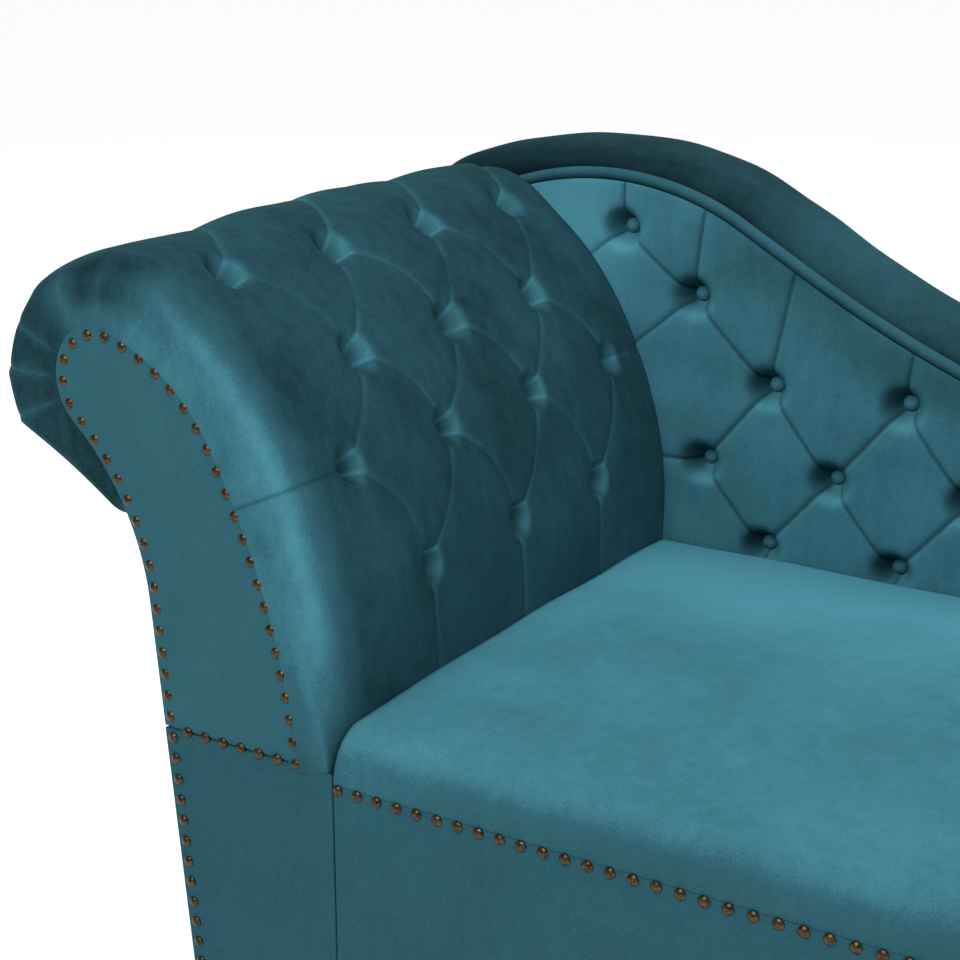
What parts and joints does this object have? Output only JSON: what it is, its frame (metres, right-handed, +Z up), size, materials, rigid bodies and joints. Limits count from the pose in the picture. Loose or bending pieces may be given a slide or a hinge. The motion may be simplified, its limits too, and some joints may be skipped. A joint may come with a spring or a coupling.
{
  "type": "chaise longue",
  "caption": "Velvet chaise longue with a deep-buttoned scroll arm, a swept buttoned back, a tight padded seat, nailhead trim and short turned legs.",
  "frame": {"origin": "on the floor, under the middle of the bounding box", "axes": "+X from the scroll arm to the foot end, +Y from the seat front to the back, +Z up"},
  "size_m": [1.6905, 0.728, 0.843],
  "materials": {
    "velvet": "teal velvet pile",
    "frame_wood": "sawn",
    "foam": "open foam",
    "felt": "pressed felt",
    "dust_cloth": "black woven",
    "spring_steel": "oiled wire",
    "hardware_steel": "zinc plated",
    "nail_bronze": "antique bronze",
    "leg_wood": "dark stained, satin",
    "glide_plastic": "matte"
  },
  "bodies": {
    "root": {"front_rail": "frame_wood", "rear_rail": "frame_wood", "head_rail": "frame_wood", "foot_rail": "frame_wood", "seat_rear_beam": "frame_wood", "cross_rails": "frame_wood", "corner_blocks": "frame_wood", "arm_front_board": "frame_wood", "arm_rear_board": "frame_wood", "arm_battens": "frame_wood", "arm_backing_panel": "frame_wood", "arm_foam": "foam", "arm_inside_cover": "velvet", "arm_outside_cover": "velvet", "arm_scroll_panel": "velvet", "arm_lower_panel": "velvet", "arm_buttons": "velvet", "arm_panel_nails": "nail_bronze", "back_front_board": "frame_wood", "back_rear_board": "frame_wood", "back_posts": "frame_wood", "back_top_strip": "frame_wood", "back_foam": "foam", "back_inside_cover": "velvet", "back_top_border": "velvet", "back_piping": "velvet", "back_outside_cover": "velvet", "back_buttons": "velvet", "seat_springs": "spring_steel", "spring_clips": "spring_steel", "seat_felt": "felt", "seat_foam": "foam", "seat_cover": "velvet", "front_rail_cover": "velvet", "foot_rail_cover": "velvet", "seat_rail_nails": "nail_bronze", "dust_cover": "dust_cloth", "leg_bolts": "hardware_steel", "leg_tee_nuts": "hardware_steel", "leg_glides": "glide_plastic", "leg_front_head": "leg_wood", "leg_front_foot": "leg_wood", "leg_rear_head": "leg_wood", "leg_rear_foot": "leg_wood"}
  },
  "joints": []
}
